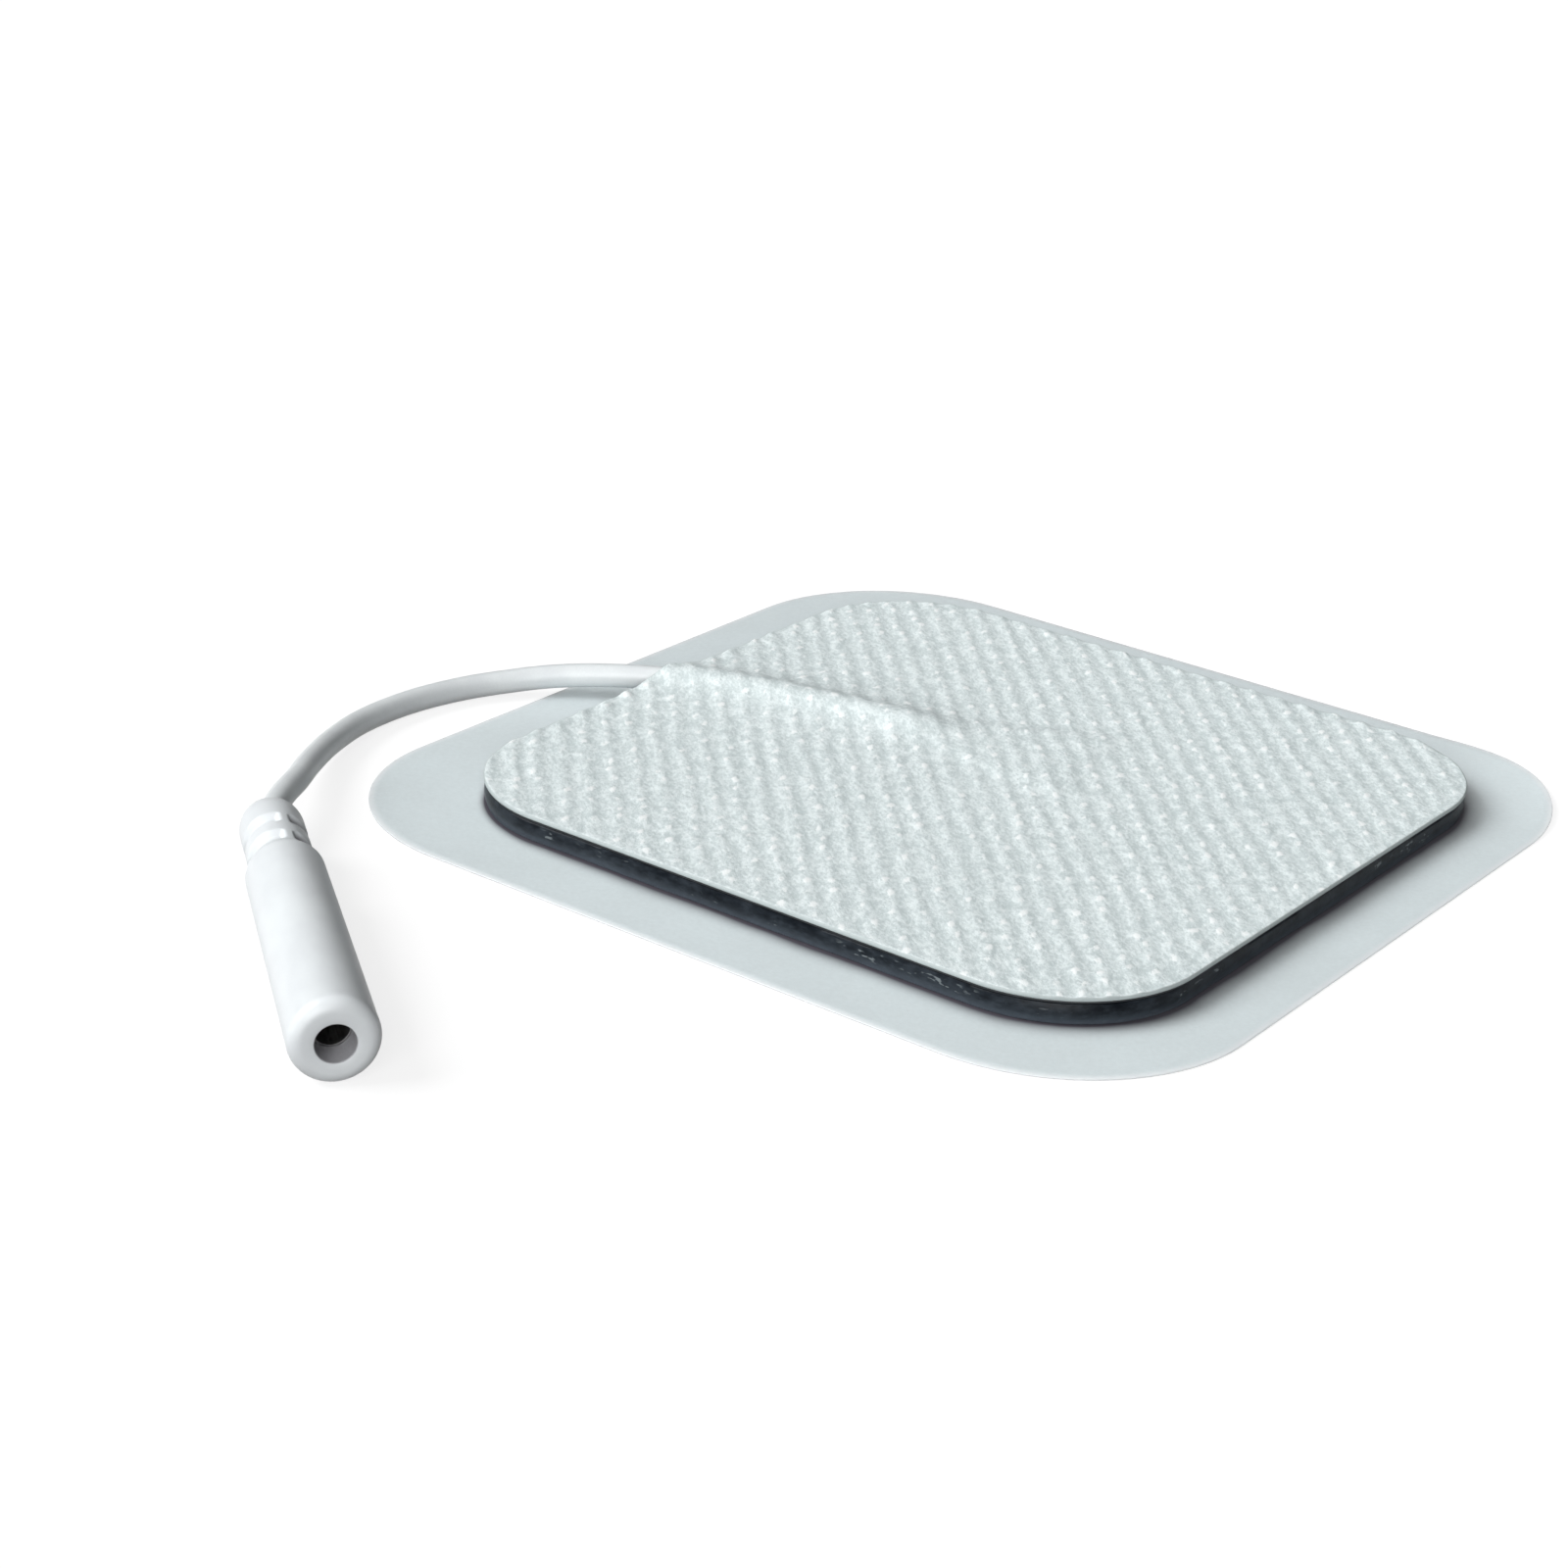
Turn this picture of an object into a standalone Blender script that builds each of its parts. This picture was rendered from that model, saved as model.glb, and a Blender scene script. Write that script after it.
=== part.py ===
# Self-adhesive electrode pad for nerve stimulation, lying on its release liner,
# with a short lead that ends in a moulded 2 mm pin socket. Metres, +Z up.
# The origin is the centre of the liner's underside, and the lead leaves along -X.

import itertools
import math

import bmesh
import bpy
from mathutils import Vector

mm = 0.001

# Laminate, counted up from the table
PAD_SIDE = 50.0 * mm
PAD_CORNER = 9.0 * mm
PAD_SHIFT = 0.8 * mm  # the pad is laid a little off the liner's centre, away from the lead
LINER_MARGIN = 5.5 * mm
LINER_CORNER = 12.0 * mm
LINER_THICKNESS = 0.12 * mm
GEL_THICKNESS = 1.3 * mm
GEL_INSET = 0.2 * mm
FILM_THICKNESS = 0.15 * mm
FILM_INSET = 0.1 * mm
CLOTH_THICKNESS = 0.27 * mm
GLUE_LINE = 0.02 * mm

# Lead
LEAD_DIAMETER = 1.6 * mm
CORE_DIAMETER = 0.7 * mm
CORE_CLEARANCE = 0.1 * mm
CORE_RISE = 0.05 * mm  # the middle of the core lies this far above the top of the film
TUNNEL_CLEARANCE = 0.05 * mm
TABLE_CLEARANCE = 0.02 * mm

# Bare strands, spread flat between the film and the cloth
BARE_CORE = 1.2 * mm
STRAND_DIAMETER = 0.18 * mm
STRAND_CLEARANCE = 0.04 * mm
POCKET_MARGIN = 0.16 * mm  # round the spread strands, in the underside of the cloth
FAN_LENGTH = 11.0 * mm
FAN_HALF_ANGLE = math.radians(18)
FLATTEN_LENGTH = 2.0 * mm  # over which the strands come down onto the film
FADE_LENGTH = 5.0 * mm  # over which the ridge in the cloth dies away

# Socket moulding
BODY_LENGTH = 20.8 * mm
BODY_DIAMETER = 5.0 * mm
BODY_DRAFT = 0.18 * mm
SHOULDER_LENGTH = 1.0 * mm
SHOULDER_STEP = 0.4 * mm
RELIEF_LENGTH = 6.9 * mm
RELIEF_END_WALL = 0.35 * mm
RELIEF_ROUND = 1.7 * mm
MOUTH_ROUND = 0.8 * mm
MOUTH_CLEARANCE = 0.15 * mm
MOUTH_DEPTH = 1.8 * mm
SLOT_PAIRS = 2
SLOT_WIDTH = 1.3 * mm
SLOT_PITCH = 2.4 * mm
SLOT_FLOOR = 0.62 * mm  # wall left between a slot and the lead
SLOT_START = 3.75 * mm
RIB_WIDTH = 0.65 * mm
PARTING_TURN = math.radians(-14)

# Metal contact inside it
PIN_DIAMETER = 2.0 * mm
PIN_CLEARANCE = 0.025 * mm
SLEEVE_WALL = 0.25 * mm
SLEEVE_LENGTH = 11.5 * mm
WEB_THICKNESS = 0.8 * mm
BARREL_LENGTH = 3.5 * mm
BARREL_WALL = 0.25 * mm
BARREL_CLEARANCE = 0.05 * mm
SEAM_WIDTH = 0.35 * mm
SEAM_STOP = 0.35 * mm  # the seam of the rolled sleeve ends this far from its web
MOULD_GAP = 0.1 * mm
END_GAP = 0.3 * mm
STRIP_GAP = 0.4 * mm  # the conductor stops this far short of the barrel's floor

# Facets
TURN_STEPS = 40
ARC_STEPS = 10
ROUND_STEPS = 5
CURVE_STEPS = 20  # between two points of the route, before the curve is spaced out evenly
TUNNEL_RESOLUTION = 6
LEAD_RESOLUTION = 2
STRAND_RESOLUTION = 1

# Heights that follow from the stack
GEL_BOTTOM = LINER_THICKNESS + GLUE_LINE
GEL_TOP = GEL_BOTTOM + GEL_THICKNESS
FILM_BOTTOM = GEL_TOP + GLUE_LINE
FILM_TOP = FILM_BOTTOM + FILM_THICKNESS
CLOTH_BOTTOM = FILM_TOP + GLUE_LINE
CLOTH_TOP = CLOTH_BOTTOM + CLOTH_THICKNESS
LEAD_RADIUS = LEAD_DIAMETER / 2
IN_PAD = FILM_TOP + CORE_RISE
ON_TABLE = LEAD_RADIUS + TABLE_CLEARANCE
AT_SOCKET = BODY_DIAMETER / 2 + TABLE_CLEARANCE
PAD_EDGE = PAD_SHIFT - PAD_SIDE / 2  # the edge that the lead comes out of

# Radii that follow from the lead, the pin and the body
STRAND_CIRCLE = CORE_DIAMETER / 2 - STRAND_DIAMETER / 2 - STRAND_CLEARANCE
TUNNEL_RADIUS = LEAD_RADIUS + TUNNEL_CLEARANCE
FAN_TUNNEL_END = STRAND_DIAMETER / 2 + STRAND_CLEARANCE
SLEEVE_BORE = PIN_DIAMETER / 2 + PIN_CLEARANCE
SLEEVE_RADIUS = SLEEVE_BORE + SLEEVE_WALL
BARREL_BORE = CORE_DIAMETER / 2 + BARREL_CLEARANCE
BARREL_RADIUS = BARREL_BORE + BARREL_WALL
MOUTH_BORE = PIN_DIAMETER / 2 + MOUTH_CLEARANCE
LEAD_BORE = LEAD_RADIUS + MOULD_GAP
BODY_RADIUS = BODY_DIAMETER / 2
RELIEF_RADIUS = BODY_RADIUS - BODY_DRAFT - SHOULDER_STEP

# Places along the socket, measured back from its mouth
CONTACT_FRONT = MOUTH_DEPTH + MOULD_GAP
WEB_FRONT = CONTACT_FRONT + SLEEVE_LENGTH
WEB_BACK = WEB_FRONT + WEB_THICKNESS
BARREL_BACK = WEB_BACK + BARREL_LENGTH
LEAD_END = BARREL_BACK + END_GAP
SOCKET_LENGTH = BODY_LENGTH + SHOULDER_LENGTH + RELIEF_LENGTH

# Where the socket lies: the middle of its back end, and the way its mouth points
SOCKET_BACK = Vector((PAD_EDGE - 1.02 * mm, -37.23 * mm, AT_SOCKET))
SOCKET_TURN = math.radians(-37.7)
SOCKET_AXIS = Vector((math.cos(SOCKET_TURN), math.sin(SOCKET_TURN), 0))

SPREAD = 10.0 * mm  # how far a cutter runs past what it cuts


def between(low, high, share):
    return low + (high - low) * share


# The lead's route, from the stripped end under the cloth to the back of the socket
LEAD_ROUTE = [
    (PAD_EDGE + 16.2 * mm, 3.1 * mm, IN_PAD),
    (PAD_EDGE + 11.2 * mm, 2.2 * mm, IN_PAD),
    (PAD_EDGE + 5.6 * mm, 0.9 * mm, IN_PAD),
    (PAD_EDGE, -1.1 * mm, IN_PAD),
    (PAD_EDGE - 3.4 * mm, -3.2 * mm, between(IN_PAD, ON_TABLE, 0.08)),
    (PAD_EDGE - 6.2 * mm, -5.35 * mm, between(IN_PAD, ON_TABLE, 0.35)),
    (PAD_EDGE - 8.4 * mm, -7.75 * mm, between(IN_PAD, ON_TABLE, 0.72)),
    (PAD_EDGE - 10.1 * mm, -10.8 * mm, between(IN_PAD, ON_TABLE, 0.95)),
    (PAD_EDGE - 10.95 * mm, -14.8 * mm, ON_TABLE),
    (PAD_EDGE - 10.7 * mm, -19.3 * mm, between(ON_TABLE, AT_SOCKET, 0.05)),
    (PAD_EDGE - 9.2 * mm, -23.7 * mm, between(ON_TABLE, AT_SOCKET, 0.22)),
    (PAD_EDGE - 7.0 * mm, -27.8 * mm, between(ON_TABLE, AT_SOCKET, 0.5)),
    (PAD_EDGE - 4.9 * mm, -31.1 * mm, between(ON_TABLE, AT_SOCKET, 0.76)),
    (PAD_EDGE - 3.2 * mm, -34.1 * mm, between(ON_TABLE, AT_SOCKET, 0.93)),
]


def clear_scene():
    for obj in list(bpy.data.objects):
        bpy.data.objects.remove(obj, do_unlink=True)


def new_collection(name):
    collection = bpy.data.collections.new(name)
    bpy.context.scene.collection.children.link(collection)
    return collection


def make_material(name, colour, roughness, metallic=0.0, alpha=1.0):
    material = bpy.data.materials.new(name)
    material.use_nodes = True
    shader = material.node_tree.nodes["Principled BSDF"]
    shader.inputs["Base Color"].default_value = (*colour, 1)
    shader.inputs["Roughness"].default_value = roughness
    shader.inputs["Metallic"].default_value = metallic
    shader.inputs["Alpha"].default_value = alpha
    material.diffuse_color = (*colour, alpha)
    return material


def add_object(name, data, collection, material=None):
    obj = bpy.data.objects.new(name, data)
    collection.objects.link(obj)
    if material:
        data.materials.append(material)
    return obj


def mark_cutter(obj):
    obj.hide_render = True
    obj.display_type = "WIRE"
    return obj


def curve_to_mesh(obj, collection):
    """The curve's surface as a mesh object, with its loose caps welded on."""
    bpy.context.view_layer.update()
    graph = bpy.context.evaluated_depsgraph_get()
    mesh = bpy.data.meshes.new_from_object(obj.evaluated_get(graph))
    shape = bmesh.new()
    shape.from_mesh(mesh)
    bmesh.ops.remove_doubles(shape, verts=shape.verts, dist=0.0001 * mm)
    bmesh.ops.recalc_face_normals(shape, faces=shape.faces)
    shape.to_mesh(mesh)
    shape.free()
    name, place, materials = obj.name, obj.matrix_world.copy(), list(obj.data.materials)
    bpy.data.objects.remove(obj, do_unlink=True)
    solid = bpy.data.objects.new(name, mesh)
    solid.matrix_world = place
    if materials and not mesh.materials:
        mesh.materials.append(materials[0])
    collection.objects.link(solid)
    return solid


def make_plate(name, outline, bottom, top, collection, material=None):
    """A flat plate of the outline between two heights."""
    curve = bpy.data.curves.new(name, "CURVE")
    curve.dimensions = "2D"
    curve.fill_mode = "BOTH"
    curve.extrude = (top - bottom) / 2
    spline = curve.splines.new("POLY")
    spline.points.add(len(outline) - 1)
    for point, (x, y) in zip(spline.points, outline):
        point.co = (x, y, 0, 1)
    spline.use_cyclic_u = True
    obj = add_object(name, curve, collection, material)
    obj.location.z = (top + bottom) / 2
    return curve_to_mesh(obj, collection)


def make_tube(name, points, radii, resolution, collection, material=None):
    """A round bar along the points, with a radius at each of them."""
    curve = bpy.data.curves.new(name, "CURVE")
    curve.dimensions = "3D"
    curve.bevel_depth = max(radii)
    curve.bevel_resolution = resolution
    curve.use_fill_caps = True
    spline = curve.splines.new("POLY")
    spline.points.add(len(points) - 1)
    for point, place, radius in zip(spline.points, points, radii):
        point.co = (*place, 1)
        point.radius = radius / curve.bevel_depth
    obj = add_object(name, curve, collection, material)
    return curve_to_mesh(obj, collection)


def make_turned(name, profile, collection, material=None):
    """A solid turned about its own Z from a profile of radius and height."""
    mesh = bpy.data.meshes.new(name)
    shape = bmesh.new()
    corners = [shape.verts.new((radius, 0, height)) for radius, height in profile]
    for first, second in zip(corners, corners[1:]):
        shape.edges.new((first, second))
    if profile[0][0] > 0:
        shape.edges.new((corners[-1], corners[0]))
    shape.to_mesh(mesh)
    shape.free()
    obj = add_object(name, mesh, collection, material)
    turn = obj.modifiers.new("Turn", "SCREW")
    turn.axis = "Z"
    turn.steps = TURN_STEPS
    turn.render_steps = TURN_STEPS
    turn.use_merge_vertices = True
    turn.merge_threshold = 0.001 * mm
    return obj


def make_box(name, size, collection):
    mesh = bpy.data.meshes.new(name)
    shape = bmesh.new()
    bmesh.ops.create_cube(shape, size=1)
    bmesh.ops.scale(shape, vec=size, verts=shape.verts)
    shape.to_mesh(mesh)
    shape.free()
    return mark_cutter(add_object(name, mesh, collection))


def add_boolean(target, tool, operation):
    step = target.modifiers.new(tool.name, "BOOLEAN")
    step.operation = operation
    step.solver = "EXACT"
    step.object = tool


def rounded_square(side, corner, centre_x):
    """The outline of a square with round corners, anticlockwise."""
    middle = side / 2 - corner
    outline = []
    for quarter in range(4):
        start = quarter * math.pi / 2
        corner_x = middle * (1 if quarter in (0, 3) else -1)
        corner_y = middle * (1 if quarter in (0, 1) else -1)
        for step in range(ARC_STEPS + 1):
            angle = start + step / ARC_STEPS * math.pi / 2
            x = centre_x + corner_x + corner * math.cos(angle)
            outline.append((x, corner_y + corner * math.sin(angle)))
    return outline


def smooth_points(route, spacing):
    """Evenly spaced points on a smooth curve through the route."""
    knots = [Vector(place) for place in route]
    knots = [2 * knots[0] - knots[1]] + knots + [2 * knots[-1] - knots[-2]]
    dense = []
    for before, start, end, after in zip(knots, knots[1:], knots[2:], knots[3:]):
        for step in range(CURVE_STEPS):
            t = step / CURVE_STEPS
            dense.append(
                start
                + (end - before) * (0.5 * t)
                + (before * 2 - start * 5 + end * 4 - after) * (0.5 * t**2)
                + (start * 3 - before - end * 3 + after) * (0.5 * t**3)
            )
    dense.append(knots[-2])
    lengths = [0.0]
    for first, second in zip(dense, dense[1:]):
        lengths.append(lengths[-1] + (second - first).length)
    count = math.ceil(lengths[-1] / spacing)
    points = []
    piece = 0
    for number in range(count + 1):
        wanted = lengths[-1] * number / count
        while piece < len(dense) - 2 and lengths[piece + 1] < wanted:
            piece += 1
        share = (wanted - lengths[piece]) / (lengths[piece + 1] - lengths[piece])
        points.append(dense[piece].lerp(dense[piece + 1], share))
    return points


def lead_points():
    """The insulated lead's centre line, from its stripped end to its end in the socket."""
    depth_in_socket = SOCKET_LENGTH - LEAD_END
    route = LEAD_ROUTE + [
        SOCKET_BACK,
        SOCKET_BACK + SOCKET_AXIS * depth_in_socket / 2,
        SOCKET_BACK + SOCKET_AXIS * depth_in_socket,
    ]
    outside = smooth_points(route[: len(LEAD_ROUTE) + 1], 2 * LEAD_DIAMETER)
    return outside + [Vector(place) for place in route[len(LEAD_ROUTE) + 1 :]]


def buried_points(points, wall):
    """The lead's points under the cloth and just past its edge, with the fade put on the inner end."""
    inward = (points[0] - points[1]).normalized()
    covered = list(itertools.takewhile(lambda place: place.x > PAD_EDGE - LEAD_DIAMETER, points))
    past = points[len(covered)]
    core_end = points[0] + inward * BARE_CORE
    faded = core_end + inward * (FADE_LENGTH + wall)
    return [faded, core_end] + covered + [past]


def make_buried_tube(name, points, wall, collection):
    """The room that the lead takes in the laminate, grown by a wall, and tapered where it dies away."""
    places = buried_points(points, wall)
    radii = [FAN_TUNNEL_END + wall] + [TUNNEL_RADIUS + wall] * (len(places) - 1)
    return mark_cutter(make_tube(name, places, radii, TUNNEL_RESOLUTION, collection))


def fan_outline(points):
    """The flat pocket that the spread strands lie in."""
    inward = (points[0] - points[1]).normalized()
    across = Vector((-inward.y, inward.x, 0))
    root = points[0] + inward * BARE_CORE / 2
    far = BARE_CORE / 2 + FAN_LENGTH + POCKET_MARGIN
    near_half = CORE_DIAMETER / 2
    far_half = near_half + far * math.tan(FAN_HALF_ANGLE) + POCKET_MARGIN
    corners = [
        root - across * near_half,
        root + inward * far - across * far_half,
        root + inward * far + across * far_half,
        root + across * near_half,
    ]
    return [(corner.x, corner.y) for corner in corners]


def build_liner(parts, materials):
    outline = rounded_square(PAD_SIDE + 2 * LINER_MARGIN, LINER_CORNER, 0)
    make_plate("release_liner", outline, 0, LINER_THICKNESS, parts, materials["liner"])


def build_gel(points, parts, cutters, materials):
    outline = rounded_square(PAD_SIDE - 2 * GEL_INSET, PAD_CORNER - GEL_INSET, PAD_SHIFT)
    gel = make_plate("hydrogel", outline, GEL_BOTTOM, GEL_TOP, parts, materials["gel"])
    trough = make_buried_tube("gel_trough", points, FILM_THICKNESS + GLUE_LINE, cutters)
    add_boolean(gel, trough, "DIFFERENCE")


def make_blank(name, bottom, top, parts, material):
    """A sheet wider than the pad, before it is punched to its outline."""
    half = PAD_SIDE / 2 + SPREAD
    corners = [(-half, -half), (half, -half), (half, half), (-half, half)]
    return make_plate(name, [(x + PAD_SHIFT, y) for x, y in corners], bottom, top, parts, material)


def build_film(points, tunnel, parts, cutters, materials):
    film = make_blank("carbon_film", FILM_BOTTOM, FILM_TOP + SPREAD, parts, materials["film"])
    add_boolean(film, make_buried_tube("film_sag", points, FILM_THICKNESS, cutters), "UNION")
    add_boolean(film, tunnel, "DIFFERENCE")
    outline = rounded_square(PAD_SIDE - 2 * FILM_INSET, PAD_CORNER - FILM_INSET, PAD_SHIFT)
    punch = make_plate("film_punch", outline, -SPREAD, FILM_TOP, cutters)
    add_boolean(film, mark_cutter(punch), "INTERSECT")


def build_cloth(points, tunnel, parts, cutters, materials):
    cloth = make_blank("backing_cloth", CLOTH_BOTTOM - SPREAD, CLOTH_TOP, parts, materials["cloth"])
    add_boolean(cloth, make_buried_tube("cloth_ridge", points, CLOTH_THICKNESS, cutters), "UNION")
    add_boolean(cloth, tunnel, "DIFFERENCE")
    pocket_top = FILM_TOP + STRAND_DIAMETER + 2 * STRAND_CLEARANCE
    pocket = make_plate("fan_pocket", fan_outline(points), -2 * SPREAD, pocket_top, cutters)
    add_boolean(cloth, mark_cutter(pocket), "DIFFERENCE")
    outline = rounded_square(PAD_SIDE, PAD_CORNER, PAD_SHIFT)
    punch = make_plate("cloth_punch", outline, CLOTH_BOTTOM, 2 * SPREAD, cutters)
    add_boolean(cloth, mark_cutter(punch), "INTERSECT")


def build_insulation(points, parts, cutters, materials):
    radii = [LEAD_RADIUS] * len(points)
    lead = make_tube("lead_insulation", points, radii, LEAD_RESOLUTION, parts, materials["insulation"])
    inward = (points[0] - points[1]).normalized()
    bore_points = [points[0] + inward * SPREAD] + points + [points[-1] + SOCKET_AXIS * SPREAD]
    bore_radius = CORE_DIAMETER / 2 + CORE_CLEARANCE
    bore = make_tube("lead_bore", bore_points, [bore_radius] * len(bore_points), LEAD_RESOLUTION, cutters)
    add_boolean(lead, mark_cutter(bore), "DIFFERENCE")


def strand_seats():
    """Each strand's place in the core's end, aside and above, and the angle that it is spread to."""
    seats = [(0, 0, 0)]
    places = (0, math.pi / 3, -math.pi / 3)  # outermost, upper and lower, with even angles round the core
    for side in (-1, 1):
        for number, angle in enumerate(places):
            aside = side * STRAND_CIRCLE * math.cos(angle)
            turn = side * FAN_HALF_ANGLE * (len(places) - number) / len(places)
            seats.append((aside, STRAND_CIRCLE * math.sin(angle), turn))
    return seats


def build_conductor(points, parts, cutters, materials):
    inward = (points[0] - points[1]).normalized()
    across = Vector((-inward.y, inward.x, 0))
    up = Vector((0, 0, 1))
    core_end = points[0] + inward * BARE_CORE
    in_barrel = points[-1] + SOCKET_AXIS * (END_GAP + BARREL_LENGTH - STRIP_GAP)
    core_points = [core_end] + points + [in_barrel]
    core = make_tube(
        "lead_conductor",
        core_points,
        [CORE_DIAMETER / 2] * len(core_points),
        LEAD_RESOLUTION,
        parts,
        materials["conductor"],
    )
    flat_height = FILM_TOP + STRAND_CLEARANCE + STRAND_DIAMETER / 2
    for number, (aside, above, turn) in enumerate(strand_seats(), 1):
        spread = math.tan(turn)
        root = core_end + across * aside + up * above
        flat = core_end + inward * FLATTEN_LENGTH + across * (aside + FLATTEN_LENGTH * spread)
        tip = core_end + inward * FAN_LENGTH + across * (aside + FAN_LENGTH * spread)
        flat.z = flat_height
        tip.z = flat_height
        strand_points = [root - inward * BARE_CORE / 2, root, root.lerp(flat, 0.5), flat, tip]
        radii = [STRAND_DIAMETER / 2] * len(strand_points)
        strand = make_tube(f"strand_{number}", strand_points, radii, STRAND_RESOLUTION, cutters)
        add_boolean(core, mark_cutter(strand), "UNION")


def socket_frame():
    """An empty at the socket's mouth, with its Z out of the mouth."""
    empty = bpy.data.objects.new("socket_frame", None)
    empty.location = SOCKET_BACK + SOCKET_AXIS * SOCKET_LENGTH
    empty.rotation_mode = "XYZ"
    empty.rotation_euler = (0, math.pi / 2, SOCKET_TURN)
    bpy.context.scene.collection.objects.link(empty)
    return empty


def quarter_round(centre_radius, centre_height, radius, start, end):
    """Points of a quarter circle in a turned profile."""
    points = []
    for step in range(ROUND_STEPS + 1):
        angle = between(start, end, step / ROUND_STEPS)
        points.append((centre_radius + radius * math.cos(angle), centre_height + radius * math.sin(angle)))
    return points


def build_socket_body(frame, parts, cutters, materials):
    end_radius = LEAD_BORE + RELIEF_END_WALL
    mouth = quarter_round(BODY_RADIUS - MOUTH_ROUND, -MOUTH_ROUND, MOUTH_ROUND, math.pi / 2, 0)
    relief_end = []
    for step in range(ROUND_STEPS + 1):
        angle = step / ROUND_STEPS * math.pi / 2
        radius = end_radius + (RELIEF_RADIUS - end_radius) * math.cos(angle)
        relief_end.append((radius, -SOCKET_LENGTH + RELIEF_ROUND * (1 - math.sin(angle))))
    profile = (
        mouth
        + [
            (BODY_RADIUS - BODY_DRAFT, -BODY_LENGTH),
            (RELIEF_RADIUS, -BODY_LENGTH - SHOULDER_LENGTH),
        ]
        + relief_end
        + [
            (LEAD_BORE, -SOCKET_LENGTH),
            (LEAD_BORE, -BARREL_BACK - MOULD_GAP),
            (BARREL_RADIUS + MOULD_GAP, -BARREL_BACK - MOULD_GAP),
            (BARREL_RADIUS + MOULD_GAP, -WEB_BACK - MOULD_GAP),
            (SLEEVE_RADIUS + MOULD_GAP, -WEB_BACK - MOULD_GAP),
            (SLEEVE_RADIUS + MOULD_GAP, -MOUTH_DEPTH),
            (MOUTH_BORE, -MOUTH_DEPTH),
            (MOUTH_BORE, 0),
        ]
    )
    body = make_turned("socket_body", profile, parts, materials["socket"])
    body.parent = frame
    body.rotation_euler.z = PARTING_TURN
    rib = make_box("relief_rib", (2 * SPREAD, RIB_WIDTH, 2 * SOCKET_LENGTH + SPREAD), cutters)
    rib.parent = body
    slot_radius = LEAD_BORE + SLOT_FLOOR
    for number in range(SLOT_PAIRS):
        back = -SOCKET_LENGTH + SLOT_START + number * SLOT_PITCH - SLOT_WIDTH / 2
        ring = make_turned(
            f"relief_slot_{number}",
            [
                (BODY_RADIUS + SPREAD, back + SLOT_WIDTH),
                (BODY_RADIUS + SPREAD, back),
                (slot_radius, back),
                (slot_radius, back + SLOT_WIDTH),
            ],
            cutters,
        )
        ring.parent = body
        add_boolean(mark_cutter(ring), rib, "DIFFERENCE")
        add_boolean(body, ring, "DIFFERENCE")


def build_contact(frame, parts, cutters, materials):
    profile = [
        (0, -WEB_FRONT),
        (SLEEVE_BORE, -WEB_FRONT),
        (SLEEVE_BORE, -CONTACT_FRONT),
        (SLEEVE_RADIUS, -CONTACT_FRONT),
        (SLEEVE_RADIUS, -WEB_BACK),
        (BARREL_RADIUS, -WEB_BACK),
        (BARREL_RADIUS, -BARREL_BACK),
        (BARREL_BORE, -BARREL_BACK),
        (BARREL_BORE, -WEB_BACK),
        (0, -WEB_BACK),
    ]
    contact = make_turned("socket_contact", profile, parts, materials["contact"])
    contact.parent = frame
    seam = make_box("contact_seam", (SEAM_WIDTH, SPREAD, SLEEVE_LENGTH), cutters)
    seam.parent = contact
    seam.location = (0, SPREAD / 2, -CONTACT_FRONT - SLEEVE_LENGTH / 2 + SEAM_STOP)
    add_boolean(contact, seam, "DIFFERENCE")


def build_materials():
    return {
        "cloth": make_material("cloth", (0.72, 0.76, 0.76), 0.9),
        "film": make_material("carbon_film", (0.02, 0.021, 0.023), 0.6),
        "gel": make_material("hydrogel", (0.03, 0.036, 0.042), 0.2),
        "liner": make_material("release_liner", (0.78, 0.82, 0.83), 0.25, alpha=0.45),
        "insulation": make_material("lead_insulation", (0.82, 0.84, 0.86), 0.4),
        "conductor": make_material("tinned_copper", (0.75, 0.72, 0.68), 0.3, metallic=1.0),
        "socket": make_material("socket_moulding", (0.84, 0.87, 0.88), 0.4),
        "contact": make_material("plated_contact", (0.6, 0.6, 0.6), 0.3, metallic=1.0),
    }


def main():
    clear_scene()
    parts = new_collection("tens_electrode_pad")
    cutters = new_collection("cutters")
    materials = build_materials()
    points = lead_points()
    tunnel = make_buried_tube("lead_tunnel", points, 0, cutters)
    build_liner(parts, materials)
    build_gel(points, parts, cutters, materials)
    build_film(points, tunnel, parts, cutters, materials)
    build_cloth(points, tunnel, parts, cutters, materials)
    build_insulation(points, parts, cutters, materials)
    build_conductor(points, parts, cutters, materials)
    frame = socket_frame()
    build_socket_body(frame, parts, cutters, materials)
    build_contact(frame, parts, cutters, materials)


main()
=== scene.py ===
import math

import bpy
import numpy as np
from mathutils import Matrix, Vector


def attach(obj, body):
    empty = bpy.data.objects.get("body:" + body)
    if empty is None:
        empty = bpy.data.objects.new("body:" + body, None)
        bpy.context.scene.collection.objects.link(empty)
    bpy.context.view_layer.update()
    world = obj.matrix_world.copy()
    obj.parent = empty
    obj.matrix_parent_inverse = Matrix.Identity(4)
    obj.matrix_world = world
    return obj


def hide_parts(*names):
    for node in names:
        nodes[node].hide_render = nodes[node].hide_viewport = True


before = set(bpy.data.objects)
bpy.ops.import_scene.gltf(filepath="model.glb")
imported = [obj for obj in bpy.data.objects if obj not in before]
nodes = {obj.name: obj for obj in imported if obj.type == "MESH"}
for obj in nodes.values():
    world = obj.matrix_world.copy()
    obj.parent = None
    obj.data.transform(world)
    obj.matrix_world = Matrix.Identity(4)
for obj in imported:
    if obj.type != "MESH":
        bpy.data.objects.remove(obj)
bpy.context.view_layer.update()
mm = 0.001

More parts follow.
